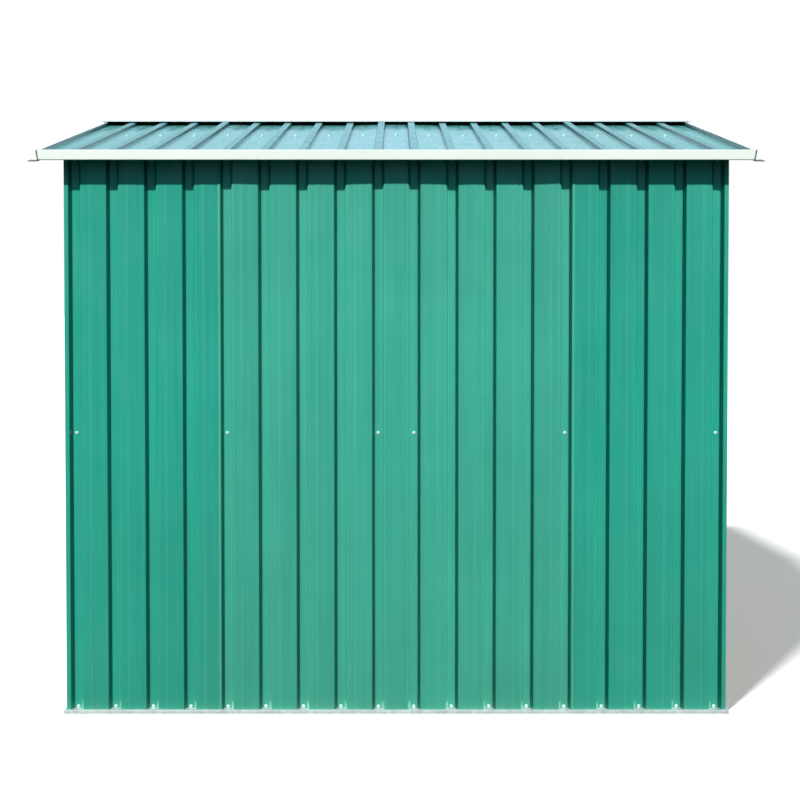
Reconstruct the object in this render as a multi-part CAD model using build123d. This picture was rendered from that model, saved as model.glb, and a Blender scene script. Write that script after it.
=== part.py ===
from build123d import *
import math
import os

# A ribbed steel garden shed with a low apex roof. X runs along the ridge and the eaves, Y across the
# gables and Z up. The origin is at ground level in the middle of the shed, and sizes are in mm.
# The doors are in the front gable, which faces +X. Seen from there, the left wall faces -Y.
# The sheets of a wall are numbered from 1 at the right end to 4 at the left end, seen from outside.

# Walls
wall_length = 1886.0
gable_width = 2400.0
roof_slope = 8.74

# Ribbed sheet, the same for the walls and the doors, and with lower ribs for the roof
sheet_thickness = 0.8
rib_pitch = 107.7
rib_mouth = 33.0
rib_floor = 22.0
rib_depth = 19.0
roof_rib_height = 10.0
centre_flat = 69.0
crease_offset = 25.0
crease_height = 0.6
edge_flat = 8.0
lap_edge = 8.0
roof_lap_shift = 1
corner_fold = 15.0

# Clearances
seat = 0.3
nest_clearance = 0.1

# Roof edges
eave_overhang = 85.0
verge_overhang = 63.0
roof_edge_lip = 4.0
ridge_gap = 12.0

# White trims
trim_thickness = 1.0
eave_trim_height = 27.0
eave_trim_lap = 15.0
eave_trim_return = 18.0
verge_lip = 5.0
verge_height = 28.0
verge_flange = 28.5
verge_lean = 4.5
ridge_cap_half_width = 55.0
ridge_cap_overhang = 19.0

# Galvanised frame
rail_thickness = 1.0
base_ledge_height = 10.0
base_upstand = 35.0
side_ledge = 13.0
gable_ledge = 7.0
base_return = 14.0
post_leg = 30.0
mid_rail_height = 802.0
mid_rail_web = 30.0
mid_rail_flange = 20.0
plate_web = 40.0
plate_flange = 30.0
rafter_web = 32.0
rafter_flange = 40.0
purlin_depth = 30.0
purlin_flange = 25.0
lower_purlin_place = 600.0
upper_purlin_place = 157.0

# Doorway and sliding doors
door_width = 1110.0
door_head_height = 1510.0
door_head_room = 87.5
over_door_lap = 17.0
door_surround_face = 28.0
head_face = 30.0
track_width = 46.0
track_height = 46.0
track_lip = 26.0
track_run = 10.0
door_setback = 4.0
door_cover = 20.0
door_gap = 2.0
door_bottom = 24.0
door_top_in_track = 22.0
door_edge_fold = 18.0
door_rail_height = 50.0
hanger_length = 60.0
hanger_height = 9.0
hanger_drop = 16.0
hanger_leg = 6.0
hanger_inset = 70.0

# Door handles
handle_height = 860.0
handle_length = 170.0
handle_width = 24.0
handle_plate = 3.0
handle_reach = 30.0
handle_bar = 10.0

# Gable vents
vent_width = 60.0
vent_length = 96.0
vent_rise = 50.0
vent_rib_count = 2
vent_frame = 7.0
vent_depth = 6.0
vent_slats = 5
vent_slat_thickness = 1.6
vent_slat_tilt_degrees = 40.0

slope = math.radians(roof_slope)
half_gable = gable_width / 2
half_wall = wall_length / 2
wall_height = door_head_height + door_head_room
vent_height = wall_height + vent_rise
gable_face = half_wall - sheet_thickness - seat
sheet_back = rib_depth + sheet_thickness
side_frame = half_gable - sheet_back
gable_frame = gable_face - sheet_back
gable_reach = half_gable - sheet_thickness - seat
roof_half_length = half_wall + verge_overhang
eave_face = half_gable + eave_overhang
rib_run = (rib_mouth - rib_floor) / 2
lap_rise = (sheet_thickness + nest_clearance) / math.cos(math.atan2(rib_depth, rib_run))
flat_lap_rise = sheet_thickness + nest_clearance
roof_rib_run = rib_run * roof_rib_height / rib_depth
cap_seat = roof_rib_height + lap_rise + seat
verge_top = roof_rib_height + seat + trim_thickness


def rib_centre(number):
    """Distance of a rib from the middle of its wall: ribs count outwards from 1, minus on the other half."""
    outwards = (centre_flat + rib_mouth) / 2 + (abs(number) - 1) * rib_pitch
    return math.copysign(outwards, number)


def ribs_within(reach):
    """How many ribs of one half fit within a distance of the middle, with a flat edge outside them."""
    return int((reach - edge_flat - rib_mouth - centre_flat / 2) // rib_pitch) + 1


def first_rib_beyond(reach):
    """The first rib of one half that lies wholly farther from the middle than a distance."""
    return math.ceil((reach - centre_flat / 2) / rib_pitch) + 1


def roof_height(across, above=0.0):
    """Height of a plane that lies a given distance above the underside of the roof sheets."""
    return wall_height + (half_gable - abs(across)) * math.tan(slope) + above / math.cos(slope)


def strip(points, thickness):
    """Section of a folded strip, whose outer face passes through the points with the metal on the right."""
    with BuildSketch() as section:
        with BuildLine():
            face = Polyline(*points)
            offset(face, amount=thickness, side=Side.RIGHT, kind=Kind.INTERSECTION)
        make_face()
    return section.sketch


def lip(depth):
    """Distance from the middle of a rib to its lips: the sides have the same slope at any depth."""
    return rib_floor / 2 + rib_run * abs(depth) / rib_depth


def ribbed_points(ribs, rises, depth):
    """Outer face of a ribbed sheet: a depth below zero presses the ribs in as grooves.

    A rise lifts a rib off the wall where its sheet lies over another. Each flat between two ribs of the
    same half has a shallow crease, nearer to the outer rib.
    """
    points = []
    numbers = list(ribs)
    for number, following in zip(numbers, numbers[1:] + [None]):
        middle = rib_centre(number)
        rise = rises.get(number, 0.0)
        points.append((middle - lip(depth), rise))
        points.append((middle - rib_floor / 2, rise + depth))
        points.append((middle + rib_floor / 2, rise + depth))
        points.append((middle + lip(depth), rise))
        if following and following * number > 0:
            start = middle + lip(depth)
            flat = rib_pitch - 2 * lip(depth)
            share = crease_offset / flat if number < 0 else 1 - crease_offset / flat
            level = rise + share * (rises.get(following, 0.0) - rise)
            points.append((start + share * flat, level + crease_height))
    return points


def wall_plane(outward, height):
    """Plane whose y axis points out of a wall and whose z axis points up."""
    outwards = Vector(*outward)
    return Plane(origin=(0, 0, height), x_dir=outwards.cross(Vector(0, 0, 1)), z_dir=(0, 0, 1))


def roof_plane(side, start):
    """Plane on a roof slope, at a distance from the ridge: y along its normal, z up the slope."""
    origin = Vector(0, side * start, roof_height(start, sheet_thickness))
    return Plane(
        origin=origin,
        x_dir=(side, 0, 0),
        z_dir=(0, -side * math.cos(slope), math.sin(slope)),
    )


def upright(section, outward, face, bottom, top):
    """Extrudes a section up a wall whose outer face lies at a given distance from the middle."""
    plane = wall_plane(outward, bottom)
    moved = section.moved(Location((0, face, 0)))
    return extrude(plane * moved, amount=top - bottom, dir=(0, 0, 1))


def under_roof(clearance):
    """The space below the two roof slopes, used to cut whatever reaches up to the roof."""
    side = 2 * half_gable
    outline = Polyline(
        (-side, 0),
        (side, 0),
        (side, roof_height(side) - clearance),
        (0, roof_height(0) - clearance),
        (-side, roof_height(side) - clearance),
        close=True,
    )
    face = Plane.YZ * make_face(outline)
    return extrude(face, amount=roof_half_length, both=True)


def beyond_ridge(side):
    """The half of the space on one side of the ridge, short of it by the seat."""
    depth = 2 * half_gable
    return Pos(0, side * (depth / 2 + seat), wall_height) * Box(4 * half_wall, depth, wall_height)


def together(shapes):
    """One node of several like pieces that don't touch."""
    return Compound(children=[solid for shape in shapes for solid in shape.solids()])


roof_space = under_roof(seat)

parts = {}

LEFT = (0, -1, 0)
RIGHT = (0, 1, 0)
REAR = (-1, 0, 0)
FRONT = (1, 0, 0)


def half_sheets(reach, edge_points, depth, lap_shift):
    """The outer and inner sheet of the half wall on the plus side, and the under sheet of the other half.

    The inner sheet nests over the outer one at the rib halfway, or some ribs further out. In the middle,
    the plus side's inner sheet lies over the flat edge of the other half's.
    """
    ribs = ribs_within(reach)
    lap_rib = (ribs + 1) // 2 + lap_shift
    inner_lip = rib_centre(lap_rib) - lip(depth)
    outer_lip = rib_centre(lap_rib) + lip(depth)
    outer = [(inner_lip - lap_edge, 0.0)]
    outer += ribbed_points(range(lap_rib, ribs + 1), {}, depth)
    outer += edge_points
    middle_reach = centre_flat / 2 - lap_edge
    rises = {1: lap_rise, lap_rib: lap_rise}
    over = [(-middle_reach, lap_rise)]
    over += ribbed_points(range(1, lap_rib + 1), rises, depth)
    over += [(outer_lip + lap_edge, flat_lap_rise)]
    under_rises = {1: lap_rise - flat_lap_rise, lap_rib: lap_rise}
    under = [(-middle_reach, lap_rise - flat_lap_rise)]
    under += ribbed_points(range(1, lap_rib + 1), under_rises, depth)
    under += [(outer_lip + lap_edge, flat_lap_rise)]
    return outer, over, under


def mirrored(points):
    """The same outer face on the other half of the wall."""
    return [(-u, w) for u, w in reversed(points)]


def wall_sections(reach, edge_points, depth, lap_shift=0):
    """The four sheets of a wall or a roof slope, whose ribs end within a distance of its middle."""
    outer, over, under = half_sheets(reach, edge_points, depth, lap_shift)
    outlines = (mirrored(outer), mirrored(under), over, outer)
    return [strip(points, sheet_thickness) for points in outlines]


def make_side_walls():
    corner = [(half_wall, 0.0), (half_wall, -corner_fold)]
    sections = wall_sections(half_wall, corner, -rib_depth)
    top = roof_height(half_gable + lap_rise) - seat
    for side, outward in (("left", LEFT), ("right", RIGHT)):
        for number, section in enumerate(sections, 1):
            sheet = upright(section, outward, half_gable, base_ledge_height, top)
            parts[f"{side}_wall_sheet_{number}"] = sheet


def vent_opening(outward, place):
    """The hole behind one vent."""
    plane = wall_plane(outward, vent_height)
    hole = Box(vent_width - 2 * vent_frame, 4 * sheet_back, vent_length - 2 * vent_frame)
    return plane * Pos(place, gable_face, 0) * hole


def vent_places():
    middle = rib_centre(vent_rib_count) + rib_pitch / 2
    return (-middle, middle)


def make_rear_wall():
    sections = wall_sections(gable_reach, [(gable_reach, 0.0)], -rib_depth)
    holes = [vent_opening(REAR, place) for place in vent_places()]
    for number, section in enumerate(sections, 1):
        sheet = upright(section, REAR, gable_face, base_ledge_height, roof_height(0))
        sheet = sheet & roof_space
        if number in (2, 3):
            sheet = sheet - holes[number - 2]
        parts[f"rear_wall_sheet_{number}"] = sheet


def make_front_wall():
    """A sheet on each side of the doorway, and one over it that laps onto both."""
    reach = door_width / 2 + over_door_lap
    first = first_rib_beyond(reach + seat)
    beside = [(door_width / 2, 0.0)]
    beside += ribbed_points(range(first, ribs_within(gable_reach) + 1), {}, -rib_depth)
    beside += [(gable_reach, 0.0)]
    for name, outline in (("left", beside), ("right", mirrored(beside))):
        section = strip(outline, sheet_thickness)
        sheet = upright(section, FRONT, gable_face, base_ledge_height, roof_height(0))
        parts[f"front_wall_sheet_{name}"] = sheet & roof_space
    last = ribs_within(reach)
    numbers = list(range(-last, 0)) + list(range(1, last + 1))
    rises = {last: flat_lap_rise, -last: flat_lap_rise}
    over_door = [(-reach, flat_lap_rise)]
    over_door += ribbed_points(numbers, rises, -rib_depth)
    over_door += [(reach, flat_lap_rise)]
    section = strip(over_door, sheet_thickness)
    bottom = door_head_height + trim_thickness + seat
    sheet = upright(section, FRONT, gable_face, bottom, roof_height(0)) & roof_space
    for place in vent_places():
        sheet = sheet - vent_opening(FRONT, place)
    parts["front_gable_sheet"] = sheet


def make_roof():
    drop = sheet_thickness + seat + trim_thickness
    verge_face = roof_half_length - trim_thickness - verge_lean * drop / verge_height
    pan_edge = verge_face - seat - roof_edge_lip - roof_rib_run
    edge = [
        (pan_edge, 0.0),
        (pan_edge + roof_rib_run, roof_rib_height),
        (pan_edge + roof_rib_run + roof_edge_lip, roof_rib_height),
    ]
    sections = wall_sections(pan_edge, edge, roof_rib_height, roof_lap_shift)
    lean = (cap_seat + sheet_thickness) * math.sin(slope)
    start = eave_face - trim_thickness - seat - lean
    length = (start - ridge_gap) / math.cos(slope)
    for side, name in ((-1, "left"), (1, "right")):
        plane = roof_plane(side, start)
        for number, section in enumerate(sections, 1):
            sheet = extrude(plane * section, amount=length, dir=plane.z_dir)
            parts[f"{name}_roof_sheet_{number}"] = sheet


def along_wall(points, outward, face, half_length, thickness):
    """A folded rail along a wall: the points are distances out of a face, and heights."""
    section = strip([(face + out, height) for out, height in points], thickness)
    outwards = Vector(*outward)
    plane = Plane(origin=(0, 0, 0), x_dir=outwards, z_dir=outwards.cross(Vector(0, 0, 1)))
    return extrude(plane * section, amount=half_length, both=True)


def make_base():
    """Folded base rails: a ledge under the sheets, a lip down to the ground and an upstand behind them.

    The upstands stop at the corner posts, and the front one also at the jambs of the doorway.
    """
    sides = gable_face + gable_ledge
    ends = side_frame - rail_thickness - seat
    jamb = doorway_edge() + trim_thickness / 2
    for name, outward, frame, other_frame, ledge, half_length, jambs in (
        ("left", LEFT, side_frame, gable_frame, side_ledge, sides, []),
        ("right", RIGHT, side_frame, gable_frame, side_ledge, sides, []),
        ("rear", REAR, gable_frame, side_frame, gable_ledge, ends, []),
        ("front", FRONT, gable_frame, side_frame, gable_ledge, ends, [-jamb, jamb]),
    ):
        reach = sheet_back + ledge
        points = [
            (0, base_ledge_height + base_upstand),
            (0, base_ledge_height),
            (reach, base_ledge_height),
            (reach, 0),
            (reach - base_return, 0),
        ]
        rail = along_wall(points, outward, frame, half_length, rail_thickness)
        post_face = other_frame - post_leg - seat
        behind_post = (half_length + post_face) / 2
        notches = [(side * behind_post, half_length - post_face) for side in (-1, 1)]
        notches += [(place, trim_thickness + 2 * seat) for place in jambs]
        upstand = wall_plane(outward, base_ledge_height + base_upstand / 2)
        for place, width in notches:
            rail = rail - upstand * Pos(place, frame, 0) * Box(width, sheet_back, base_upstand)
        parts[f"{name}_base_rail"] = rail


def make_posts():
    posts = []
    for x_side in (-1, 1):
        for y_side in (-1, 1):
            section = Rectangle(post_leg, post_leg) - Pos(-rail_thickness, -rail_thickness) * Rectangle(
                post_leg, post_leg
            )
            middle = post_leg / 2
            placed = Pos(gable_frame - middle, side_frame - middle) * section
            post = extrude(Pos(0, 0, base_ledge_height) * placed, amount=wall_height)
            post = post & roof_space
            if x_side < 0:
                post = mirror(post, about=Plane.YZ)
            if y_side < 0:
                post = mirror(post, about=Plane.XZ)
            posts.append(post)
    parts["corner_posts"] = together(posts)


def make_mid_rails():
    top = mid_rail_height + mid_rail_web / 2
    bottom = mid_rail_height - mid_rail_web / 2
    points = [(-mid_rail_flange, top), (0, top), (0, bottom)]
    rails = []
    for outward, frame, other_frame in (
        (LEFT, side_frame, gable_frame),
        (RIGHT, side_frame, gable_frame),
        (REAR, gable_frame, side_frame),
    ):
        half_length = other_frame - post_leg - seat
        rails.append(along_wall(points, outward, frame, half_length, rail_thickness))
    parts["mid_rails"] = together(rails)


def make_wall_plates():
    top = roof_height(side_frame) - seat
    inner = plate_flange * math.cos(slope)
    points = [(-inner, top + plate_flange * math.sin(slope)), (0, top), (0, top - plate_web)]
    half_length = gable_frame - post_leg - seat
    for name, outward in (("left", LEFT), ("right", RIGHT)):
        parts[f"{name}_wall_plate"] = along_wall(points, outward, side_frame, half_length, rail_thickness)


def make_rafters():
    top = -sheet_thickness - seat
    start = side_frame - post_leg - seat
    length = start / math.cos(slope)
    outer = [
        (gable_frame - rafter_flange, top),
        (gable_frame, top),
        (gable_frame, top - rafter_web),
    ]
    rafters = []
    for x_side in (-1, 1):
        for side in (-1, 1):
            points = outer if x_side == side else mirrored(outer)
            plane = roof_plane(side, start)
            section = strip(points, rail_thickness)
            rafter = extrude(plane * section, amount=length + rafter_web, dir=plane.z_dir)
            rafters.append(rafter & beyond_ridge(side))
    parts["rafters"] = together(rafters)


def make_purlins():
    """Two purlins under each slope, and a channel on the rafters that closes the ridge under its cap."""
    top = -sheet_thickness - seat
    half_length = gable_frame - rafter_flange - seat
    purlins = []
    for side in (-1, 1):
        for place in (lower_purlin_place, upper_purlin_place):
            plane = roof_plane(side, place)
            points = [
                (-purlin_flange, top),
                (0, top),
                (0, top - purlin_depth),
                (-purlin_flange, top - purlin_depth),
            ]
            section = strip(points, rail_thickness)
            across = Plane(
                origin=plane.origin,
                x_dir=-1 * plane.z_dir,
                z_dir=(-1 * plane.z_dir).cross(plane.y_dir),
            )
            purlins.append(extrude(across * section, amount=half_length, both=True))

    half_width = ridge_gap - 2 * seat
    bottom = roof_height(0)
    top = roof_height(half_width, sheet_thickness + cap_seat) - seat
    points = [(-half_width, bottom), (-half_width, top), (half_width, top), (half_width, bottom)]
    section = Plane.YZ * strip(points, rail_thickness)
    half_length = roof_half_length - verge_lip - seat
    purlins.append(extrude(section, amount=half_length, both=True))
    parts["purlins"] = together(purlins)


def between_verges(side):
    """The space at one eave between the leaning webs of the verge trims."""
    inside = roof_half_length - trim_thickness - seat
    web = [
        (inside + verge_lean, verge_top + verge_height),
        (inside - 2 * verge_lean, verge_top - 2 * verge_height),
    ]
    outline = Polyline(*web, *mirrored(web), close=True)
    plane = roof_plane(side, eave_face + eave_trim_height)
    return extrude(plane * make_face(outline), amount=4 * eave_trim_height, dir=plane.z_dir)


def make_trims():
    cap_top = sheet_thickness + cap_seat + sheet_thickness
    cap_points = [
        (-ridge_cap_half_width, roof_height(ridge_cap_half_width, cap_top)),
        (0, roof_height(0, cap_top)),
        (ridge_cap_half_width, roof_height(ridge_cap_half_width, cap_top)),
    ]
    cap_half_length = roof_half_length + ridge_cap_overhang
    cap = extrude(Plane.YZ * strip(cap_points, sheet_thickness), amount=cap_half_length, both=True)
    parts["ridge_cap"] = cap

    trim_top = sheet_thickness + cap_seat + trim_thickness
    inner = eave_face - eave_trim_lap * math.cos(slope)
    face_top = roof_height(eave_face, trim_top)
    eave_points = [
        (inner, roof_height(inner, trim_top)),
        (eave_face, face_top),
        (eave_face, face_top - eave_trim_height),
        (eave_face - eave_trim_return, face_top - eave_trim_height),
    ]
    for side, name, outward in ((-1, "left", LEFT), (1, "right", RIGHT)):
        trim = along_wall(eave_points, outward, 0, roof_half_length, trim_thickness)
        parts[f"{name}_eave_trim"] = trim & between_verges(side)

    leg = roof_half_length
    outline = [
        (leg - verge_lip, verge_top),
        (leg, verge_top),
        (leg - verge_lean, verge_top - verge_height),
        (leg + verge_flange - verge_lean, verge_top - verge_height),
    ]
    start = eave_face - trim_thickness - seat - verge_top * math.sin(slope)
    length = start / math.cos(slope)
    trims = []
    for side in (-1, 1):
        plane = roof_plane(side, start)
        for points in (outline, mirrored(outline)):
            section = strip(points, trim_thickness)
            trim = extrude(plane * section, amount=length + verge_height, dir=plane.z_dir)
            trims.append(trim & beyond_ridge(side))
    parts["verge_trims"] = together(trims)


def doorway_edge():
    """Distance from the middle of the doorway to the face of its trim."""
    return door_width / 2 - seat - trim_thickness


def track_level():
    """Height of the top of the door track."""
    return door_head_height + trim_thickness + seat + track_height


def make_doorway():
    """White channels that wrap the cut edges beside the doorway, and an angle along its head."""
    edge = doorway_edge()
    outer_face = gable_face + seat + trim_thickness
    inner_face = gable_frame - rail_thickness - trim_thickness
    jamb_points = [
        (edge + door_surround_face, inner_face),
        (edge, inner_face),
        (edge, outer_face),
        (edge + door_surround_face, outer_face),
    ]
    jamb_section = strip(jamb_points, trim_thickness)
    jamb = upright(jamb_section, FRONT, 0, base_ledge_height, door_head_height - seat)
    head_out = flat_lap_rise + crease_height + seat + trim_thickness
    head_points = [
        (head_out, door_head_height + head_face),
        (head_out, door_head_height),
        (-sheet_back, door_head_height),
    ]
    head = along_wall(head_points, FRONT, gable_face, edge + door_surround_face, trim_thickness)
    behind_sheets = wall_plane(FRONT, door_head_height) * Pos(0, gable_face + seat - sheet_back, 0)
    for side in (-1, 1):
        middle = side * (door_width / 2 - seat + door_surround_face)
        notch = Box(2 * door_surround_face, 2 * sheet_back, 4 * trim_thickness)
        head = head - behind_sheets * Pos(middle, 0, 0) * notch
    pieces = [jamb, mirror(jamb, about=Plane.XZ), head]
    parts["door_surround"] = together(pieces)

    track_bottom = door_head_height + trim_thickness + seat
    track_top = track_level()
    track_points = [
        (track_run - track_width, track_top - track_lip),
        (-track_width, track_top - track_lip),
        (-track_width, track_top),
        (0, track_top),
        (0, track_bottom),
    ]
    half_length = side_frame - post_leg - seat
    parts["door_track"] = along_wall(track_points, FRONT, gable_frame, half_length, rail_thickness)


def make_doors():
    face = gable_frame - rail_thickness - trim_thickness - door_setback
    inner_edge = door_gap / 2
    outer_edge = door_width / 2 + door_cover
    points = [(inner_edge, -door_edge_fold), (inner_edge, 0.0)]
    points += ribbed_points(range(1, ribs_within(outer_edge) + 1), {}, -rib_depth)
    points += [(outer_edge, 0.0), (outer_edge, -door_edge_fold)]
    top = door_head_height + trim_thickness + seat + door_top_in_track
    rail_out = crease_height + seat + trim_thickness
    rail_in = -sheet_back - seat - trim_thickness
    rails = []
    handles = []
    for name, outline in (("left", points), ("right", mirrored(points))):
        section = strip(outline, sheet_thickness)
        parts[f"{name}_door"] = upright(section, FRONT, face, door_bottom, top)
    channel = [
        (rail_in, door_rail_height),
        (rail_in, -rail_out),
        (rail_out, -rail_out),
        (rail_out, door_rail_height),
    ]
    for side in (-1, 1):
        middle = side * (inner_edge + outer_edge) / 2
        for height, up in ((door_bottom, 1), (top, -1)):
            levels = [(face + out, height + up * rise) for out, rise in channel]
            levels = levels if up > 0 else list(reversed(levels))
            section = strip(list(reversed(levels)), trim_thickness)
            plane = Plane(origin=(0, middle, 0), x_dir=(1, 0, 0), z_dir=(0, -1, 0))
            rails.append(extrude(plane * section, amount=(outer_edge - inner_edge) / 2, both=True))
    parts["door_rails"] = together(rails)

    hangers = []
    run = track_level() - track_lip + rail_thickness
    door_back = face + rail_in - seat
    hook = [
        (gable_frame - track_width + rail_thickness + seat, run + seat),
        (gable_frame - track_width + rail_thickness + seat, run + seat + hanger_height),
        (door_back, run + seat + hanger_height),
        (door_back, run - hanger_drop),
        (door_back - hanger_leg, run - hanger_drop),
        (door_back - hanger_leg, run + seat),
    ]
    for side in (-1, 1):
        for distance in (inner_edge + hanger_inset, outer_edge - hanger_inset):
            plane = Plane(origin=(0, side * distance, 0), x_dir=(1, 0, 0), z_dir=(0, -1, 0))
            block = make_face(Polyline(*hook, close=True))
            hangers.append(extrude(plane * block, amount=hanger_length / 2, both=True))
    parts["door_hangers"] = together(hangers)

    place = inner_edge + (centre_flat / 2 - inner_edge) / 2
    for side in (-1, 1):
        base = Plane(origin=(face + seat, side * place, handle_height), x_dir=(0, 1, 0), z_dir=(1, 0, 0))
        plate = extrude(base * SlotOverall(handle_length, handle_width, rotation=90), amount=handle_plate)
        outer = Rectangle(handle_reach, handle_length - handle_width)
        inner = Pos(-handle_bar / 2, 0) * Rectangle(
            handle_reach - handle_bar, handle_length - handle_width - 2 * handle_bar
        )
        side_plane = Plane(
            origin=(face + seat + handle_reach / 2, side * place, handle_height),
            x_dir=(1, 0, 0),
            z_dir=(0, -1, 0),
        )
        grip = extrude(side_plane * (outer - inner), amount=handle_bar / 2, both=True)
        handles.append(plate + grip)
    parts["door_handles"] = together(handles)


def make_vents():
    """A louvred plate on the flat between two ribs, twice in each gable."""
    vents = []
    inside_width = vent_width - 2 * vent_frame
    inside_length = vent_length - 2 * vent_frame
    for outward in (REAR, FRONT):
        plane = wall_plane(outward, vent_height)
        for place in vent_places():
            vent = Box(vent_width, vent_depth, vent_length)
            vent = vent - Box(inside_width, 2 * vent_depth, inside_length)
            spacing = inside_length / vent_slats
            for slat in range(vent_slats):
                level = (slat + 0.5) * spacing - inside_length / 2
                blade = Rot(-vent_slat_tilt_degrees, 0, 0) * Box(
                    inside_width + vent_frame, vent_depth, vent_slat_thickness
                )
                vent = vent + Pos(0, 0, level) * blade
            stand = gable_face + crease_height + seat + vent_depth / 2
            vents.append(plane * Pos(place, stand, 0) * vent)
    parts["gable_vents"] = together(vents)


make_base()
make_posts()
make_mid_rails()
make_wall_plates()
make_rafters()
make_purlins()
make_side_walls()
make_rear_wall()
make_front_wall()
make_doorway()
make_doors()
make_vents()
make_roof()
make_trims()

os.makedirs("parts", exist_ok=True)
for name, shape in parts.items():
    export_step(shape, f"parts/{name}.step")
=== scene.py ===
import math

import bmesh
import bpy
from mathutils import Matrix, Vector
from mathutils.bvhtree import BVHTree


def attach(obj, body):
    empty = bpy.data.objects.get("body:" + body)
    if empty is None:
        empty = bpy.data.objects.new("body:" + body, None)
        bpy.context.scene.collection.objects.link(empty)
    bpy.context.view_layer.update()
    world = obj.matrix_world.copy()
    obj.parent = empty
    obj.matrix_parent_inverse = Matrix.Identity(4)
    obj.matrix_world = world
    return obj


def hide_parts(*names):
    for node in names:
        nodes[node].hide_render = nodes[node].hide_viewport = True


# A ribbed green steel garden shed, seen square-on at one side wall. Metres, with the CAD model's axes:
# X along the ridge, Y across the gables, Z up. The photographed wall faces -Y.

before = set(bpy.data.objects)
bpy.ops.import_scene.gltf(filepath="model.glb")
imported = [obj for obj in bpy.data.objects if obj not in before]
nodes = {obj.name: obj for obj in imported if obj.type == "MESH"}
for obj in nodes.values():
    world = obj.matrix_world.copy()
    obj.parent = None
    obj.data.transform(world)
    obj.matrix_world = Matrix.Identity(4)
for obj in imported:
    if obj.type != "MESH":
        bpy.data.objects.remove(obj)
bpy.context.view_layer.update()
root = "root"
scene = bpy.context.scene

MM = 0.001

# ---- Measures of the shed, as in the part ----

RIB_PITCH = 107.7 * MM
FIRST_RIB = 51.0 * MM
RIB_MOUTH = 33.0 * MM
CREASE_OFFSET = 25.0 * MM
FIRST_CREASE = FIRST_RIB - RIB_MOUTH / 2 - CREASE_OFFSET
FIRST_PAN = FIRST_RIB + RIB_PITCH / 2
SIDE_RIBS = 9
GABLE_RIBS = 11
DOORWAY_RIBS = 5
ROOF_SLOPE = math.radians(8.74)
WALL_HEIGHT = 1597.5 * MM
HALF_GABLE = 1200 * MM
HALF_SIDE = 943 * MM
MID_RAIL_HEIGHT = 802 * MM
LOWER_PURLIN = 600 * MM
UPPER_PURLIN = 157 * MM
RIDGE_CHANNEL = 20 * MM
RIDGE_CAP = 55 * MM
EAVE_FACE = 1285 * MM
EAVE_TOP = 1600 * MM
EAVE_END = 1005.2 * MM
END_LEAN = 0.159

# ---- Materials ----

# Linear colours. The inner sheets of the side walls take a paler copy of the green: a painted sheen.
GREEN = (0.015, 0.290, 0.208)
SHEEN_GREEN = (0.038, 0.318, 0.226)
# The duller, warmer green that the paint turns towards the ground
LOW_TINT = (0.060, 0.190, 0.107)
DUST = (0.20, 0.27, 0.20)
# Painted reflection of the base rail, on the side walls' ribs at the foot
RAIL_REFLECTION = (0.34, 0.66, 0.52)
# Painted highlight along the creases of the side walls' flats
CREASE_HIGHLIGHT = (0.16, 0.50, 0.41)
# Painted shade on the sides of the side walls' ribs that face the middle
SLOPE_SHADE = (0.002, 0.07, 0.05)
# Painted reflection of the dark gap under the ridge cap, also the colour of the dark streaks below the screws
CAP_REFLECTION_AND_STREAKS = (0.06, 0.15, 0.14)
RIB_TOP = (0.03, 0.12, 0.13)
UNDER_CAP = (0.010, 0.055, 0.045)
WHITE = (0.812, 0.780, 0.710)
AGED_WHITE = (0.750, 0.728, 0.655)
BARE_STEEL = (0.17, 0.16, 0.12)
RUST = (0.10, 0.075, 0.05)
ZINC = (0.68, 0.69, 0.66)
BRIGHT_ZINC = (0.72, 0.86, 0.80)
DULL_ZINC = (0.58, 0.70, 0.65)

# Where a mark of wear, dirt, tint or painted light starts and where it is full, or the other way round
LOW_TINT_HEIGHTS = (0.80, 0.10)
SPLASHED_HEIGHTS = (0.05, 0.0)
FOOT_HEIGHTS = (36 * MM, 24 * MM)
CREASE_REACH = (0.8 * MM, 3.2 * MM)
PLAIN_MIDDLE = (40 * MM, 50 * MM)
RIB_TOP_LEVELS = (6 * MM, 9 * MM)
CAP_SHADE = (RIDGE_CAP + 2 * MM, RIDGE_CAP + 10 * MM)
# How far down from the ridge the painted reflection reaches
CAP_REFLECTION_REACH = (0.18, 0.30)
RUN_REACH = (0.25, 0.36)
RUN_WIDTH = (6 * MM, 22 * MM)
VERGE_END = (EAVE_FACE - 58 * MM, EAVE_FACE - 48 * MM)
CUT_END = (EAVE_END - 4.2 * MM, EAVE_END - 3.2 * MM)

# Noise values between these two spread over a pattern's whole range
MOST_NOISE = (0.3, 0.7)
STREAK_STRETCH = (1.6, 85)
SMUDGE_STRETCH = (9, 9, 2.2)
PAINT_IOR = 1.5


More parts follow.
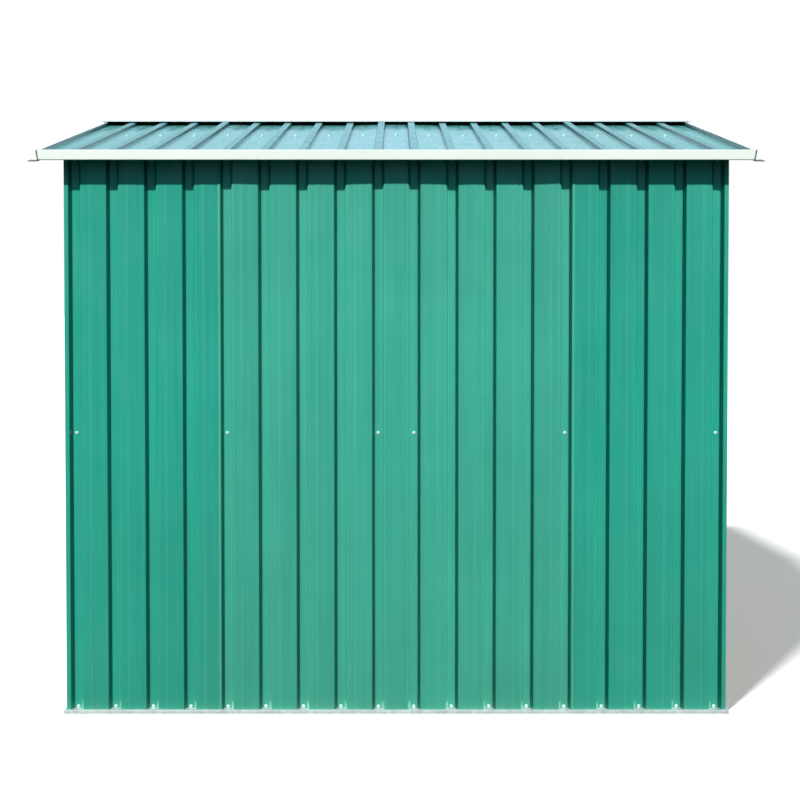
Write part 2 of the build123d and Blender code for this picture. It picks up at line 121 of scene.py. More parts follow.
class Tree:
    """A node tree, with short calls for the nodes that the finishes and the surroundings share."""

    def __init__(self, owner):
        owner.use_nodes = True
        self.nodes = owner.node_tree.nodes
        self.links = owner.node_tree.links

    def add(self, kind, inputs=None, **settings):
        node = self.nodes.new(kind)
        for key, value in settings.items():
            setattr(node, key, value)
        for key, value in (inputs or {}).items():
            self.put(node.inputs[key], value)
        return node

    def put(self, socket, value):
        """Links an output to a socket, or sets the socket's value. A colour needs no alpha."""
        if isinstance(value, bpy.types.NodeSocket):
            self.links.new(value, socket)
        elif socket.type == "RGBA":
            socket.default_value = (*value, 1)
        else:
            socket.default_value = value

    def ramp(self, value, low, high, to_low, to_high):
        node = self.add(
            "ShaderNodeMapRange",
            {"Value": value, "From Min": low, "From Max": high, "To Min": to_low, "To Max": to_high},
        )
        return node.outputs[0]

    def maths(self, operation, first, second=0.0):
        node = self.add("ShaderNodeMath", operation=operation)
        self.put(node.inputs[0], first)
        self.put(node.inputs[1], second)
        return node.outputs[0]

    def mix(self, share, first, second, blend="MIX"):
        node = self.add("ShaderNodeMix", data_type="RGBA", blend_type=blend)
        self.put(node.inputs["Factor"], share)
        self.put(node.inputs["A"], first)
        self.put(node.inputs["B"], second)
        return node.outputs["Result"]

    def shaded(self, colour, value):
        """A colour times a value."""
        grey = self.add("ShaderNodeCombineColor", {"Red": value, "Green": value, "Blue": value})
        return self.mix(1.0, colour, grey.outputs[0], "MULTIPLY")

    def product(self, first, *others):
        for other in others:
            first = self.maths("MULTIPLY", first, other)
        return first

    def gradient(self, value, stops):
        node = self.add("ShaderNodeValToRGB", {"Fac": value})
        elements = node.color_ramp.elements
        while len(elements) < len(stops):
            elements.new(0.5)
        for element, (place, _) in zip(elements, stops):
            element.position = place
        for element, (_, colour) in zip(elements, stops):
            element.color = (*colour, 1)
        return node.outputs["Color"]

    def split(self, vector):
        return self.add("ShaderNodeSeparateXYZ", {"Vector": vector}).outputs


class Finish(Tree):
    """A material of one Principled shader, patterned over the object's own coordinates."""

    def __init__(self, name):
        self.material = bpy.data.materials.new(name)
        super().__init__(self.material)
        self.shader = self.nodes["Principled BSDF"]
        self.place = self.add("ShaderNodeTexCoord").outputs["Object"]

    def noise(self, scale, detail=3.0, stretch=(1, 1, 1)):
        """Noise over the object's own coordinates, from 0 to 1, finer along the axes of larger stretch."""
        moved = self.add("ShaderNodeMapping", {"Vector": self.place, "Scale": stretch})
        node = self.add(
            "ShaderNodeTexNoise", {"Vector": moved.outputs[0], "Scale": scale, "Detail": detail}
        )
        return node.outputs["Fac"]

    def patches(self, scale, detail, to_low, to_high, between=MOST_NOISE):
        return self.ramp(self.noise(scale, detail), *between, to_low, to_high)

    def from_nearest(self, distance, first):
        """Distance to the nearest of a row of places one rib pitch apart."""
        return self.maths("PINGPONG", self.maths("SUBTRACT", distance, first), RIB_PITCH / 2)

    def bump(self, height, distance, strength):
        node = self.add(
            "ShaderNodeBump", {"Height": height, "Distance": distance, "Strength": strength}
        )
        self.links.new(node.outputs[0], self.shader.inputs["Normal"])

    def set(self, **values):
        for key, value in values.items():
            self.put(self.shader.inputs[key.replace("_", " ")], value)


def painted_steel(name, colour, along, roughness, marks=None):
    """Satin paint on pressed steel: streaks along the rolling direction, orange peel, duller and warmer
    towards the ground.

    The function given last takes the tree, its paint and its roughness, and gives the last two back changed,
    with painted light and shade among its marks.
    """
    tree = Finish(name)
    stretch = tuple(STREAK_STRETCH[0] if axis == along else STREAK_STRETCH[1] for axis in "xyz")
    streaks = tree.noise(1.0, 4.0, stretch)
    value = tree.product(tree.ramp(streaks, *MOST_NOISE, 0.94, 1.06), tree.patches(3.1, 3.0, 0.96, 1.04))
    paint = tree.shaded(colour, value)
    height = tree.split(tree.place)["Z"]
    smudges = tree.ramp(tree.noise(1.0, 4.0, SMUDGE_STRETCH), *MOST_NOISE, 0.4, 1.0)
    low_tint = tree.product(tree.ramp(height, *LOW_TINT_HEIGHTS, 0.0, 0.33), smudges)
    paint = tree.mix(low_tint, paint, LOW_TINT)
    splashes = tree.patches(30.0, 6.0, 0.0, 1.0, (0.35, 0.7))
    splashed = tree.product(tree.ramp(height, *SPLASHED_HEIGHTS, 0.0, 0.2), splashes)
    paint = tree.mix(splashed, paint, DUST)
    uneven = tree.patches(9.0, 5.0, -0.15 * roughness, 0.15 * roughness)
    streaky = tree.ramp(streaks, *MOST_NOISE, roughness - 0.04, roughness + 0.04)
    rough = tree.maths("ADD", streaky, uneven)
    if marks:
        paint, rough = marks(tree, paint, rough)
    tree.set(Base_Color=paint, Roughness=rough, IOR=PAINT_IOR)
    tree.bump(tree.noise(420.0, 2.0), 0.02 * MM, 0.6)
    return tree.material


def wall_painted_light(tree, paint, rough):
    """Side walls: painted highlight on creases, painted rail reflection at the ribs' foot, painted shade on
    inward rib sides.
    """
    x, _, height = tree.split(tree.place)
    outwards = tree.maths("ABSOLUTE", x)
    # Painted highlight along the creases, kept off the middle of the wall
    crease_highlight = tree.product(
        tree.ramp(tree.from_nearest(outwards, FIRST_CREASE), *CREASE_REACH, 0.13, 0.0),
        tree.ramp(outwards, *PLAIN_MIDDLE, 0.0, 1.0),
    )
    paint = tree.mix(crease_highlight, paint, CREASE_HIGHLIGHT)
    facing = tree.split(tree.add("ShaderNodeNewGeometry").outputs["Normal"])["X"]
    facing_out = tree.product(facing, tree.maths("SIGN", x))
    # Painted reflection of the base rail on the outward sides of the ribs at the foot
    rail_reflection = tree.product(
        tree.ramp(facing_out, 0.7, 0.9, 0.0, 0.75),
        tree.ramp(height, *FOOT_HEIGHTS, 0.0, 1.0),
        tree.patches(60.0, 3.0, 0.3, 1.0, (0.3, 0.5)),
    )
    paint = tree.mix(rail_reflection, paint, RAIL_REFLECTION)
    # Painted shade on the rib sides that face the middle of the wall
    painted_slope_shade = tree.ramp(facing_out, -0.3, -0.55, 0.0, 0.45)
    return tree.mix(painted_slope_shade, paint, SLOPE_SHADE), rough


def roof_marks(tree, paint, rough):
    """Roof: duller rib tops, dark streaks from screws, painted reflection of the cap's dark gap and painted
    shade under it.
    """
    x, y, height = tree.split(tree.place)
    from_ridge = tree.maths("ABSOLUTE", y)
    level = tree.maths(
        "ADD",
        tree.product(tree.maths("SUBTRACT", height, WALL_HEIGHT), math.cos(ROOF_SLOPE)),
        tree.product(tree.maths("SUBTRACT", from_ridge, HALF_GABLE), math.sin(ROOF_SLOPE)),
    )
    tops = tree.ramp(level, *RIB_TOP_LEVELS, 0.0, 1.0)
    uncovered = tree.ramp(from_ridge, *CAP_SHADE, 0.0, 1.0)
    # A mottled band of painted reflection of the dark gap under the ridge cap
    cap_reflection = tree.product(
        tree.ramp(from_ridge, *CAP_REFLECTION_REACH, 0.8, 0.0), tree.patches(11.0, 6.0, 0.25, 1.0, (0.35, 0.6))
    )
    # Dark streaks down the pans from the upper row of screws
    from_screw = tree.from_nearest(tree.maths("ABSOLUTE", x), FIRST_PAN)
    runs = tree.product(
        tree.ramp(from_screw, *RUN_WIDTH, 0.8, 0.0),
        tree.ramp(from_ridge, *RUN_REACH, 1.0, 0.0),
        tree.patches(23.0, 4.0, 0.3, 1.0, (0.35, 0.6)),
    )
    # Where the painted reflection and the streaks show: off the rib tops and out of the cap's shade
    reflection_and_streaks = tree.product(
        tree.maths("MAXIMUM", cap_reflection, runs), tree.maths("SUBTRACT", 1.0, tops), uncovered
    )
    paint = tree.mix(tree.product(tops, 0.35), paint, RIB_TOP)
    paint = tree.mix(reflection_and_streaks, paint, CAP_REFLECTION_AND_STREAKS)
    # Painted shade under the ridge cap
    paint = tree.mix(uncovered, UNDER_CAP, paint)
    unmarked = tree.maths("SUBTRACT", 1.0, tree.product(reflection_and_streaks, 0.6))
    tree.set(Specular_IOR_Level=tree.product(unmarked, uncovered, 0.5))
    rough = tree.maths("ADD", rough, tree.product(tops, 0.07))
    rough = tree.maths("ADD", rough, tree.product(reflection_and_streaks, 0.45))
    return paint, tree.maths("ADD", rough, tree.ramp(uncovered, 0.0, 1.0, 0.5, 0.0))


def trim_paint(name, bare=None):
    """White paint, bare and grey-brown where a function named bare finds the trim's ends."""
    tree = Finish(name)
    paint = tree.mix(tree.patches(2.3, 5.0, 0.0, 1.0, (0.35, 0.65)), WHITE, AGED_WHITE)
    if bare:
        share = bare(tree)
        paint = tree.mix(share, paint, BARE_STEEL)
        tree.set(Specular_IOR_Level=tree.ramp(share, 0.0, 1.0, 0.35, 0.0))
    tree.set(Base_Color=paint, Roughness=tree.patches(40.0, 4.0, 0.34, 0.46), IOR=PAINT_IOR)
    tree.bump(tree.noise(500.0, 2.0), 0.015 * MM, 0.5)
    return tree.material


def verge_ends(tree):
    """The lower ends of the verge trims, by the eaves."""
    across = tree.maths("ABSOLUTE", tree.split(tree.place)["Y"])
    return tree.ramp(across, *VERGE_END, 0.0, 1.0)


def eave_ends(tree):
    """The leaning ends of the eave trims."""
    x, _, height = tree.split(tree.place)
    drop = tree.product(tree.maths("SUBTRACT", EAVE_TOP, height), END_LEAN)
    reach = tree.maths("ADD", tree.maths("ABSOLUTE", x), drop)
    return tree.ramp(reach, *CUT_END, 0.0, 1.0)


def raw_edge():
    """The cut edges of the folded trims."""
    tree = Finish("raw_edge")
    tree.set(Base_Color=tree.mix(tree.patches(90.0, 4.0, 0.0, 1.0), BARE_STEEL, RUST))
    tree.set(Metallic=0.2, Roughness=tree.patches(200.0, 2.0, 0.45, 0.6))
    return tree.material


def zinc():
    """Hot-dip galvanised steel: spangle cells of slightly different grey and gloss, with a dull bloom."""
    tree = Finish("zinc_coating")
    cells = tree.add("ShaderNodeTexVoronoi", {"Vector": tree.place, "Scale": 95.0}, feature="F1")
    spangle = tree.add("ShaderNodeSeparateColor", {"Color": cells.outputs["Color"]}).outputs[0]
    value = tree.product(tree.ramp(spangle, 0.0, 1.0, 0.86, 1.05), tree.patches(11.0, 5.0, 0.88, 1.05))
    tree.set(Base_Color=tree.shaded(ZINC, value))
    tree.set(Metallic=0.3, Roughness=tree.ramp(spangle, 0.0, 1.0, 0.38, 0.55))
    tree.bump(tree.noise(260.0, 2.0), 0.02 * MM, 0.5)
    return tree.material


def bright_zinc():
    """The plating of the screws."""
    tree = Finish("screw_zinc")
    tree.set(Base_Color=tree.mix(tree.patches(180.0, 2.0, 0.0, 1.0), BRIGHT_ZINC, DULL_ZINC))
    tree.set(Metallic=0.35, Roughness=tree.patches(300.0, 2.0, 0.3, 0.42))
    return tree.material


def plastic(name, colour):
    """Moulded plastic or a plastic coating, with fine grain and slightly darker patches."""
    tree = Finish(name)
    darker = tuple(0.88 * channel for channel in colour)
    tree.set(Base_Color=tree.mix(tree.patches(25.0, 4.0, 0.0, 1.0), colour, darker))
    tree.set(Roughness=tree.patches(60.0, 3.0, 0.42, 0.55))
    tree.bump(tree.noise(900.0, 1.0), 0.02 * MM, 0.6)
    return tree.material


wall_paint = painted_steel("wall_paint", GREEN, "z", 0.36, wall_painted_light)
# Paler paint for the inner sheets of the side walls: a painted sheen
sheen_paint = painted_steel("sheen_paint", SHEEN_GREEN, "z", 0.38, wall_painted_light)
gable_paint = painted_steel("gable_paint", GREEN, "z", 0.36)
roof_paint = painted_steel("roof_paint", GREEN, "y", 0.16, roof_marks)
white_paint = trim_paint("white_paint")
verge_paint = trim_paint("verge_paint", verge_ends)
eave_paint = trim_paint("eave_paint", eave_ends)
edge_steel = raw_edge()
zinc_coating = zinc()
screw_zinc = bright_zinc()
screw_green = plastic("screw_green", (0.60, 0.80, 0.82))
# Dark heads for the upper row of roof screws
screw_dark = plastic("screw_dark", (0.05, 0.13, 0.12))
light_plastic = plastic("light_plastic", (0.72, 0.72, 0.69))
dark_plastic = plastic("dark_plastic", (0.03, 0.03, 0.032))

# ---- Folded steel: bends and waviness on the CAD sheets ----

WELD = 0.01 * MM
FLAT_ANGLE = math.radians(0.2)
BEND_SETBACK = 1.5 * MM
BEND_SEGMENTS = 3
LIP_SETBACK = 3.2 * MM
LIP_SEGMENTS = 5
LIP_LEVEL = 6 * MM
LIP_MIN_TURN = 0.1
BEND_MIN_ANGLE = math.radians(20)
BEND_MIN_LENGTH = 60 * MM
BEND_MIN_WIDTH = 2.0 * MM
SMOOTH_ANGLE = math.radians(32)
ROW_HEIGHT = 75 * MM
WALL_WAVE = 0.3 * MM
ROOF_WAVE = 0.08 * MM
NARROW = 1.3 * MM

# Two waves over a sheet, in radians per metre along and across it, with their shares of the depth
SLOW_WAVE = (9.1, 21.0)
QUICK_WAVE = (17.3, -33.0)
QUICK_SHIFT = 1.3
SLOW_SHARE = 0.65
QUICK_SHARE = 0.35


def piece(name, bm, materials, stands_for=()):
    """A new mesh object that rides on the shed, smooth over its rounded edges."""
    mesh = bpy.data.meshes.new(name)
    bm.to_mesh(mesh)
    bm.free()
    for material in materials:
        mesh.materials.append(material)
    obj = bpy.data.objects.new(name, mesh)
    scene.collection.objects.link(obj)
    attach(obj, root)
    if stands_for:
        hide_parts(*stands_for)
    mesh.shade_smooth()
    mesh.set_sharp_from_angle(angle=SMOOTH_ANGLE)
    return obj


def steel_piece(name, bm, materials, node):
    """A piece of folded steel that stands for a CAD node, shaded so that its flats stay even."""
    obj = piece(name, bm, materials, (node,))
    weighted = obj.modifiers.new("even_flats", "WEIGHTED_NORMAL")
    weighted.keep_sharp = True
    return obj


def whole_faces(node, end=0):
    """A CAD node's mesh, with its triangles joined into whole flat faces again.

    An end of 1 or -1 gives only the half towards +X or -X.
    """
    bm = bmesh.new()
    bm.from_mesh(nodes[node].data)
    bmesh.ops.delete(bm, geom=[vert for vert in bm.verts if vert.co.x * end < 0], context="VERTS")
    bmesh.ops.remove_doubles(bm, verts=bm.verts, dist=WELD)
    bmesh.ops.dissolve_limit(bm, angle_limit=FLAT_ANGLE, verts=bm.verts, edges=bm.edges)
    return bm


def bend_edges(bm):
    """The long edges where two strips of one sheet meet at a fold."""
    found = []
    for edge in bm.edges:
        length = edge.calc_length()
        if length < BEND_MIN_LENGTH or len(edge.link_faces) != 2:
            continue
        if abs(edge.calc_face_angle_signed()) < BEND_MIN_ANGLE:
            continue
        if min(face.calc_area() for face in edge.link_faces) / length > BEND_MIN_WIDTH:
            found.append(edge)
    return found


def lip_edges(bm, normal):
    """Of the folds of a wall sheet, the ones where its flats turn into the ribs' sides."""
    edges = bend_edges(bm)
    top = max(vert.co.dot(normal) for edge in edges for vert in edge.verts)
    found = []
    for edge in edges:
        sloped = min(abs(face.normal.dot(normal)) for face in edge.link_faces) > LIP_MIN_TURN
        if sloped and edge.verts[0].co.dot(normal) > top - LIP_LEVEL:
            found.append(edge)
    return found


def round_off(bm, edges, setback, segments):
    bmesh.ops.bevel(
        bm, geom=edges, offset=setback, offset_type="OFFSET", segments=segments,
        profile=0.5, affect="EDGES", clamp_overlap=True,
    )


def narrow_faces(bm):
    """The cut edges and cut ends of a folded strip: faces about as narrow as the steel is thick."""
    found = []
    for face in bm.faces:
        half_outline = sum(edge.calc_length() for edge in face.edges) / 2
        if face.calc_area() / half_outline < NARROW:
            found.append(face)
    return found


def ridge_faces(bm):
    """The faces of the channel below the ridge cap."""
    return [face for face in bm.faces if abs(face.calc_center_median().y) < RIDGE_CHANNEL]


def fold(node, name, materials, find_second=None, end=0):
    """A CAD node of folded steel, or one end of it, with rounded bends.

    The second of two materials goes on the faces that the function named find_second finds.
    """
    bm = whole_faces(node, end)
    if find_second:
        for face in find_second(bm):
            face.material_index = 1
    round_off(bm, bend_edges(bm), BEND_SETBACK, BEND_SEGMENTS)
    return steel_piece(name, bm, materials, node)


def cut_rows(bm, axis):
    """Cuts a sheet into rows across an axis, so that it can wave."""
    low = min(vert.co.dot(axis) for vert in bm.verts)
    high = max(vert.co.dot(axis) for vert in bm.verts)
    count = max(1, round((high - low) / ROW_HEIGHT))
    for row in range(1, count):
        at = low + (high - low) * row / count
        geometry = bm.verts[:] + bm.edges[:] + bm.faces[:]
        bmesh.ops.bisect_plane(bm, geom=geometry, plane_co=axis * at, plane_no=axis)


def wave(along, across):
    """How far a sheet stands off its plane, from -1 to 1: the same for two sheets that lap."""
    slow = math.sin(SLOW_WAVE[0] * along + SLOW_WAVE[1] * across)
    quick = math.sin(QUICK_WAVE[0] * along + QUICK_WAVE[1] * across + QUICK_SHIFT)
    return SLOW_SHARE * slow + QUICK_SHARE * quick


def press(node, material, slot, axis, normal, across):
    """A CAD node of ribbed sheet with rounded bends, and a faint waviness along an axis."""
    bm = whole_faces(node)
    depth = ROOF_WAVE
    if slot == "wall_steel":
        depth = WALL_WAVE
        round_off(bm, lip_edges(bm, normal), LIP_SETBACK, LIP_SEGMENTS)
    round_off(bm, bend_edges(bm), BEND_SETBACK, BEND_SEGMENTS)
    cut_rows(bm, axis)
    for vert in bm.verts:
        vert.co += normal * (depth * wave(vert.co.dot(axis), vert.co.dot(across)))
    return steel_piece(node + "_pressed", bm, [material], node)


UP = Vector((0, 0, 1))
ALONG_X = Vector((1, 0, 0))
ALONG_Y = Vector((0, 1, 0))


def slope_axes(side):
    """Up the slope, and the slope's normal, on the roof's side towards -Y or +Y."""
    up = Vector((0, -side * math.cos(ROOF_SLOPE), math.sin(ROOF_SLOPE)))
    normal = Vector((0, side * math.sin(ROOF_SLOPE), math.cos(ROOF_SLOPE)))
    return up, normal


# These inner sheets take the paler paint of the painted sheen
INNER_SHEETS = ("_2", "_3")

pressed = {}
for name in nodes:
    if "wall_sheet" in name and name.startswith(("left", "right")):
        side = -1 if name.startswith("left") else 1
        paint = sheen_paint if name.endswith(INNER_SHEETS) else wall_paint
        pressed[name] = press(name, paint, "wall_steel", UP, ALONG_Y * side, ALONG_X)
    elif "wall_sheet" in name or name == "front_gable_sheet" or name.endswith("_door"):
        side = -1 if name.startswith("rear") else 1
        pressed[name] = press(name, gable_paint, "wall_steel", UP, ALONG_X * side, ALONG_Y)
    elif "roof_sheet" in name:
        up, normal = slope_axes(-1 if name.startswith("left") else 1)
        pressed[name] = press(name, roof_paint, "roof_steel", up, normal, ALONG_X)

GALVANISED = [name for name in nodes if name.endswith(("_rail", "mid_rails", "_plate", "_posts"))]
GALVANISED += ["rafters", "door_track"]
TRIMS = {
    "ridge_cap": white_paint,
    "door_surround": white_paint,
    "door_rails": white_paint,
    "left_eave_trim": eave_paint,
    "right_eave_trim": eave_paint,
}
VERGE_ENDS = {"rear_verge_trims": -1, "front_verge_trims": 1}

folded = {}
for name in GALVANISED:
    folded[name] = fold(name, name + "_folded", [zinc_coating])
for name, paint in TRIMS.items():
    folded[name] = fold(name, name + "_folded", [paint, edge_steel], narrow_faces)
for name, end in VERGE_ENDS.items():
    folded[name] = fold("verge_trims", name, [verge_paint, edge_steel], narrow_faces, end)
folded["purlins"] = fold(
    "purlins", "purlins_folded", [zinc_coating, roof_paint], ridge_faces
)

for name, material in (
    ("gable_vents", light_plastic),
    ("door_handles", dark_plastic),
    ("door_hangers", light_plastic),
):
    mesh = nodes[name].data
    mesh.materials.clear()
    mesh.materials.append(material)

# ---- Screws ----

SCREW_WASHER = 5.0 * MM
SCREW_HEX = 3.6 * MM
SCREW_HEIGHT = 4.2 * MM
WASHER_SIDES = 18
HEX_CORNERS = 1.1547
SCREW_TURN = 0.7


def ring(bm, radius, height, sides):
    angles = [2 * math.pi * i / sides for i in range(sides)]
    return [bm.verts.new((radius * math.cos(a), radius * math.sin(a), height)) for a in angles]


def loft(bm, rings):
    """Skins a stack of rings with as many points each, and closes both ends."""
    for low, high in zip(rings, rings[1:]):
        for i in range(len(low)):
            j = (i + 1) % len(low)
            bm.faces.new((low[i], low[j], high[j], high[i]))
    bm.faces.new(rings[-1])
    bm.faces.new(list(reversed(rings[0])))


def screw_head():
    """A hexagon washer head: a dished flange with a chamfered hexagon on it."""
    bm = bmesh.new()
    loft(bm, [
        ring(bm, SCREW_WASHER, 0.0, WASHER_SIDES),
        ring(bm, SCREW_WASHER, 0.7 * MM, WASHER_SIDES),
        ring(bm, SCREW_WASHER - 0.5 * MM, 1.1 * MM, WASHER_SIDES),
        ring(bm, SCREW_HEX * 0.9, 1.25 * MM, WASHER_SIDES),
    ])
    loft(bm, [
        ring(bm, SCREW_HEX * HEX_CORNERS, 0.9 * MM, 6),
        ring(bm, SCREW_HEX * HEX_CORNERS, SCREW_HEIGHT - 0.6 * MM, 6),
        ring(bm, SCREW_HEX * 0.93, SCREW_HEIGHT, 6),
    ])
    mesh = bpy.data.meshes.new("screw_head")
    bm.to_mesh(mesh)
    bm.free()
    return mesh


HEAD = screw_head()


def on_surface(targets, start, direction):
    """Where a ray first meets one of the pieces, with the normal there."""
    best = None
    for tree in targets:
        place, normal, _, distance = tree.ray_cast(start, direction)
        if place is not None and (best is None or distance < best[2]):
            best = (place, normal, distance)
    return best


def screws(name, sheets, starts, direction, material):
    """Screw heads where rays along a direction meet the sheets or trims."""
    depsgraph = bpy.context.evaluated_depsgraph_get()
    targets = [BVHTree.FromObject(pressed.get(sheet) or folded[sheet], depsgraph) for sheet in sheets]
    bm = bmesh.new()
    for number, start in enumerate(starts):
        hit = on_surface(targets, start, direction)
        if hit is None:
            continue
        place, normal, _ = hit
        turn = Matrix.Rotation(SCREW_TURN * number, 4, "Z")
        stand = normal.to_track_quat("Z", "Y").to_matrix().to_4x4()
        before = len(bm.verts)
        bm.from_mesh(HEAD)
        bm.verts.ensure_lookup_table()
        for vert in bm.verts[before:]:
            vert.co = Matrix.Translation(place) @ stand @ turn @ vert.co
    piece(name, bm, [material])


def rib(number):
    """Place of a rib, counted from 1 or -1 beside the wall's middle."""
    return math.copysign(FIRST_RIB + (abs(number) - 1) * RIB_PITCH, number)


def both_ways(last, step=1):
    """Numbers of ribs on both sides of the middle, from the last one inwards."""
    return [side * number for side in (-1, 1) for number in range(last, 0, -step)]


def four_sheets(name):
    return [f"{name}_sheet_{number}" for number in range(1, 5)]


# The rays that find the screws' places start this far off a wall, or from this level above the roof
AWAY = 0.2
ABOVE_ROOF = 2.0

FOOT_SCREW = 15 * MM
HEAD_SCREW = 1581.5 * MM
BELOW_VERGE = 45 * MM
SIDE_WALL_ROWS = ((FOOT_SCREW, 1), (MID_RAIL_HEIGHT, 4), (HEAD_SCREW, 1))
ROOF_ROWS = (("lower", LOWER_PURLIN, screw_green), ("upper", UPPER_PURLIN, screw_dark))
PAN_MIDDLES = [0.0] + [rib(n) + math.copysign(RIB_PITCH / 2, n) for n in both_ways(SIDE_RIBS - 1)]

for side, name in ((-1, "left"), (1, "right")):
    y = side * (HALF_GABLE + AWAY)
    starts = [Vector((rib(n), y, z)) for z, step in SIDE_WALL_ROWS for n in both_ways(SIDE_RIBS, step)]
    screws(f"{name}_wall_screws", four_sheets(name + "_wall"), starts, Vector((0, -side, 0)), screw_zinc)
    down = -slope_axes(side)[1]
    for row, from_ridge, material in ROOF_ROWS:
        starts = [Vector((x, side * from_ridge, ABOVE_ROOF)) for x in PAN_MIDDLES]
        sheets = four_sheets(name + "_roof")
        screws(f"{name}_{row}_roof_screws", sheets, starts, down, material)


def under_verge(across):
    """Height of the screws below the roof on a gable."""
    return WALL_HEIGHT + (HALF_GABLE - abs(across)) * math.tan(ROOF_SLOPE) - BELOW_VERGE


GABLE_NUMBERS = both_ways(GABLE_RIBS)
BESIDE_DOORS = [n for n in GABLE_NUMBERS if abs(n) > DOORWAY_RIBS]
FRONT_SHEETS = ["front_wall_sheet_left", "front_wall_sheet_right", "front_gable_sheet"]

for side, name, wall, foot in (
    (-1, "rear", four_sheets("rear_wall"), GABLE_NUMBERS),
    (1, "front", FRONT_SHEETS, BESIDE_DOORS),
):
    x = side * (HALF_SIDE + AWAY)
    starts = [Vector((x, rib(n), FOOT_SCREW)) for n in foot]
    starts += [Vector((x, rib(n), MID_RAIL_HEIGHT)) for n in foot[::2]]
    starts += [Vector((x, rib(n), under_verge(rib(n)))) for n in GABLE_NUMBERS]
    screws(f"{name}_wall_screws", wall, starts, Vector((-side, 0, 0)), screw_zinc)

# Across and up, in mm, on the doors' edge channels, beside the doorway and over it
DOORWAY_SCREWS = [(y, z) for y in (-520, -290, -60, 60, 290, 520) for z in (49, 1475)]
DOORWAY_SCREWS += [(y, z) for y in (-569, 569) for z in (90, 430, 770, 1110, 1450)]
DOORWAY_SCREWS += [(y, 1525) for y in (-410, -140, 140, 410)]

starts = [Vector((HALF_SIDE + AWAY, y * MM, z * MM)) for y, z in DOORWAY_SCREWS]
screws("doorway_screws", ["door_rails", "door_surround"], starts, Vector((-1, 0, 0)), screw_zinc)

# ---- Stage, light and camera ----

HALF_FLOOR = 60.0
FLOOR_COLOUR = (0.30, 0.30, 0.30)
FLOOR_GLOW = (0.389, 0.325, 0.287)


def stage_floor():
    """A pale floor. Its glow gives the shadow its colour, and its own sun makes the rest white."""
    bm = bmesh.new()
    corners = ((-1, -1), (1, -1), (1, 1), (-1, 1))
    bm.faces.new([bm.verts.new((x * HALF_FLOOR, y * HALF_FLOOR, 0.0)) for x, y in corners])
    mesh = bpy.data.meshes.new("floor")
    bm.to_mesh(mesh)
    bm.free()
    tree = Finish("pale_floor")
    tree.set(Base_Color=FLOOR_COLOUR, Roughness=0.95, Specular_IOR_Level=0.0)
    tree.set(Emission_Color=FLOOR_GLOW, Emission_Strength=1.0)
    mesh.materials.append(tree.material)
    obj = bpy.data.objects.new("floor", mesh)
    scene.collection.objects.link(obj)
    obj.visible_diffuse = False
    obj.visible_glossy = False
    return obj


floor = stage_floor()

# Surroundings, from straight down at 0 over the horizon at 0.5 to straight up at 1
FRONT_SKY = [
    (0.0, (0.02, 0.05, 0.06)),
    (0.48, (0.03, 0.13, 0.14)),
    (0.53, (0.05, 0.29, 0.33)),
    (0.62, (0.16, 0.62, 0.80)),
    (0.72, (0.20, 1.00, 1.26)),
    (0.85, (0.18, 0.98, 1.26)),
    (1.0, (0.12, 0.36, 0.52)),
]
BACK_SKY = [
    (0.0, (0.10, 0.11, 0.09)),
    (0.49, (0.16, 0.17, 0.14)),
    (0.51, (0.24, 0.29, 0.29)),
    (0.57, (0.28, 0.36, 0.37)),
    (0.60, (0.54, 0.76, 0.92)),
    (0.64, (0.54, 0.76, 0.92)),
    (0.80, (0.34, 0.62, 0.85)),
    (1.0, (0.12, 0.36, 0.52)),
]
SIDE_SKY = (0.01, 0.02, 0.025)
BACK_GLOW = (0.16, 0.23, 0.34)
FRONT_GLOW = (0.50, 0.36, 0.30)
BACKDROP = (1.0, 1.0, 1.0)


def surroundings():
    """A dim front, a bright sky behind that the roof mirrors, and a plain white backdrop for the camera."""
    world = bpy.data.worlds.new("studio")
    scene.world = world
    tree = Tree(world)
    tree.nodes.clear()
    x, y, z = tree.split(tree.add("ShaderNodeTexCoord").outputs["Generated"])
    height = tree.ramp(z, -1.0, 1.0, 0.0, 1.0)
    sideways = tree.maths("ABSOLUTE", x)
    backward = tree.ramp(y, -0.1, 0.5, 0.0, 1.0)
    beside = tree.ramp(sideways, 0.25, 0.62, 0.0, 0.94)
    front = tree.mix(beside, tree.gradient(height, FRONT_SKY), SIDE_SKY)
    around = tree.mix(backward, front, tree.gradient(height, BACK_SKY))

    middle = tree.ramp(sideways, 0.0, 0.2, 1.0, 0.0)
    back_glow = tree.product(middle, tree.ramp(z, 0.15, 0.21, 0.0, 1.0), backward)
    around = tree.mix(back_glow, around, BACK_GLOW, "ADD")
    level = tree.product(tree.ramp(z, -0.15, -0.05, 0.0, 1.0), tree.ramp(z, 0.15, 0.30, 1.0, 0.0))
    ahead = tree.ramp(sideways, 0.02, 0.14, 1.0, 0.0)
    front_glow = tree.product(level, ahead, tree.ramp(y, -0.6, -0.2, 1.0, 0.0))
    around = tree.mix(front_glow, around, FRONT_GLOW, "ADD")

    lit = tree.add("ShaderNodeBackground", {"Color": around, "Strength": 1.0})
    white = tree.add("ShaderNodeBackground", {"Color": BACKDROP, "Strength": 1.0})
    seen = tree.add("ShaderNodeLightPath").outputs["Is Camera Ray"]
    swap = tree.add("ShaderNodeMixShader", {0: seen, 1: lit.outputs[0], 2: white.outputs[0]})
    tree.links.new(swap.outputs[0], tree.add("ShaderNodeOutputWorld").inputs[0])


surroundings()


def linked(name, objects):
    collection = bpy.data.collections.new(name)
    for obj in objects:
        collection.objects.link(obj)
    return collection


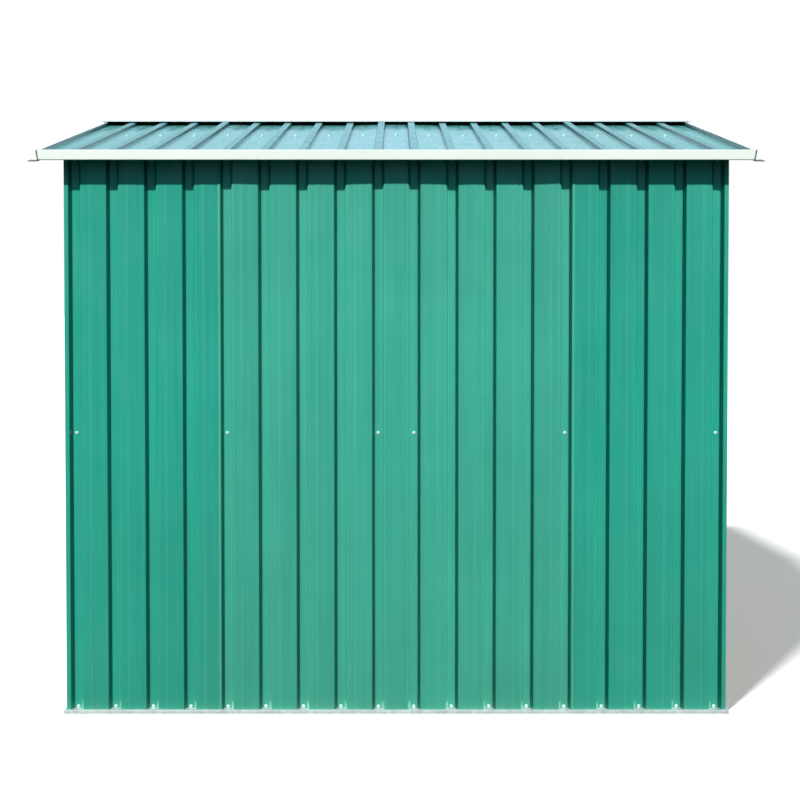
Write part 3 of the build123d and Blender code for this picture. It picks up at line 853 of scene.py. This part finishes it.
def sun(name, towards, strength, colour, softness, receivers, blockers=None):
    """A sun that lights only its receivers, and that only its blockers shade if it has any."""
    light = bpy.data.lights.new(name, "SUN")
    light.energy = strength
    light.color = colour
    light.angle = math.radians(softness)
    obj = bpy.data.objects.new(name, light)
    obj.rotation_euler = Vector(towards).to_track_quat("Z", "Y").to_euler()
    scene.collection.objects.link(obj)
    obj.light_linking.receiver_collection = linked(name + "_receivers", receivers)
    if blockers:
        obj.light_linking.blocker_collection = linked(name + "_blockers", blockers)
    return obj


def middle_x(obj):
    corners = [obj.matrix_world @ Vector(corner) for corner in obj.bound_box]
    return sum(corner.x for corner in corners) / len(corners)


OVERHANG_TRIMS = ("_eave_trim", "_verge_trims", "ridge_cap")

# Each half of the photographed wall is lit from its own side
bpy.context.view_layer.update()
shown = [obj for obj in scene.objects if obj.type == "MESH" and obj is not floor and not obj.hide_render]
left_half = [obj for obj in shown if middle_x(obj) <= MM]
right_half = [obj for obj in shown if middle_x(obj) > MM] + [nodes["gable_vents"]]
overhang = [obj for obj in shown if "roof_sheet" in obj.name]
overhang += [obj for name, obj in folded.items() if name.endswith(OVERHANG_TRIMS)]
behind = [obj for obj in shown if obj.name.startswith(("right_", "rear_")) and "door" not in obj.name]

# Colours of the suns
WARM = (1.0, 0.98, 0.94)
COOL = (0.9, 0.96, 1.0)
PLAIN = (1.0, 1.0, 1.0)

# The suns stand this far aside and up for each metre ahead. The softness is in degrees.
KEY_ASIDE = 0.42
KEY_STRENGTH = 1.66
SIDE_ASIDE = 0.9
SIDE_STRENGTH = 3.18
SUN_RISE = 0.78
SUN_SOFTNESS = 1.5

for side, name, half in ((-1, "left", left_half), (1, "right", right_half)):
    key_place = (side * KEY_ASIDE, -1.0, SUN_RISE)
    side_place = (side * SIDE_ASIDE, -1.0, SUN_RISE)
    sun(f"key_{name}", key_place, KEY_STRENGTH, WARM, SUN_SOFTNESS, half)
    sun(f"side_{name}", side_place, SIDE_STRENGTH, WARM, SUN_SOFTNESS, half, overhang)
sun("floor_light", (-0.478, -1.0, 1.075), 12.0, PLAIN, 4.5, [floor])
back_fill = sun("back_fill", (-0.6, 1.0, 0.9), 1.1, COOL, 12.0, behind)
back_fill.visible_glossy = False

# Camera: focal length and principal point in pixels of the 800 px frame
FRAME_PIXELS = 800
FOCAL_PIXELS = 1794.8
PRINCIPAL = (396.3, 345.4)
CAMERA_PLACE = (0.0, -6.299, 1.230)
CAMERA_TILT = math.radians(1.996)
SENSOR = 36.0

camera_data = bpy.data.cameras.new("camera")
camera_data.sensor_width = SENSOR
camera_data.lens = FOCAL_PIXELS * SENSOR / FRAME_PIXELS
camera_data.shift_x = (FRAME_PIXELS / 2 - PRINCIPAL[0]) / FRAME_PIXELS
camera_data.shift_y = (PRINCIPAL[1] - FRAME_PIXELS / 2) / FRAME_PIXELS
camera = bpy.data.objects.new("camera", camera_data)
camera.location = CAMERA_PLACE
camera.rotation_euler = (math.pi / 2 - CAMERA_TILT, 0, 0)
scene.collection.objects.link(camera)
scene.camera = camera
scene.view_settings.view_transform = "Standard"

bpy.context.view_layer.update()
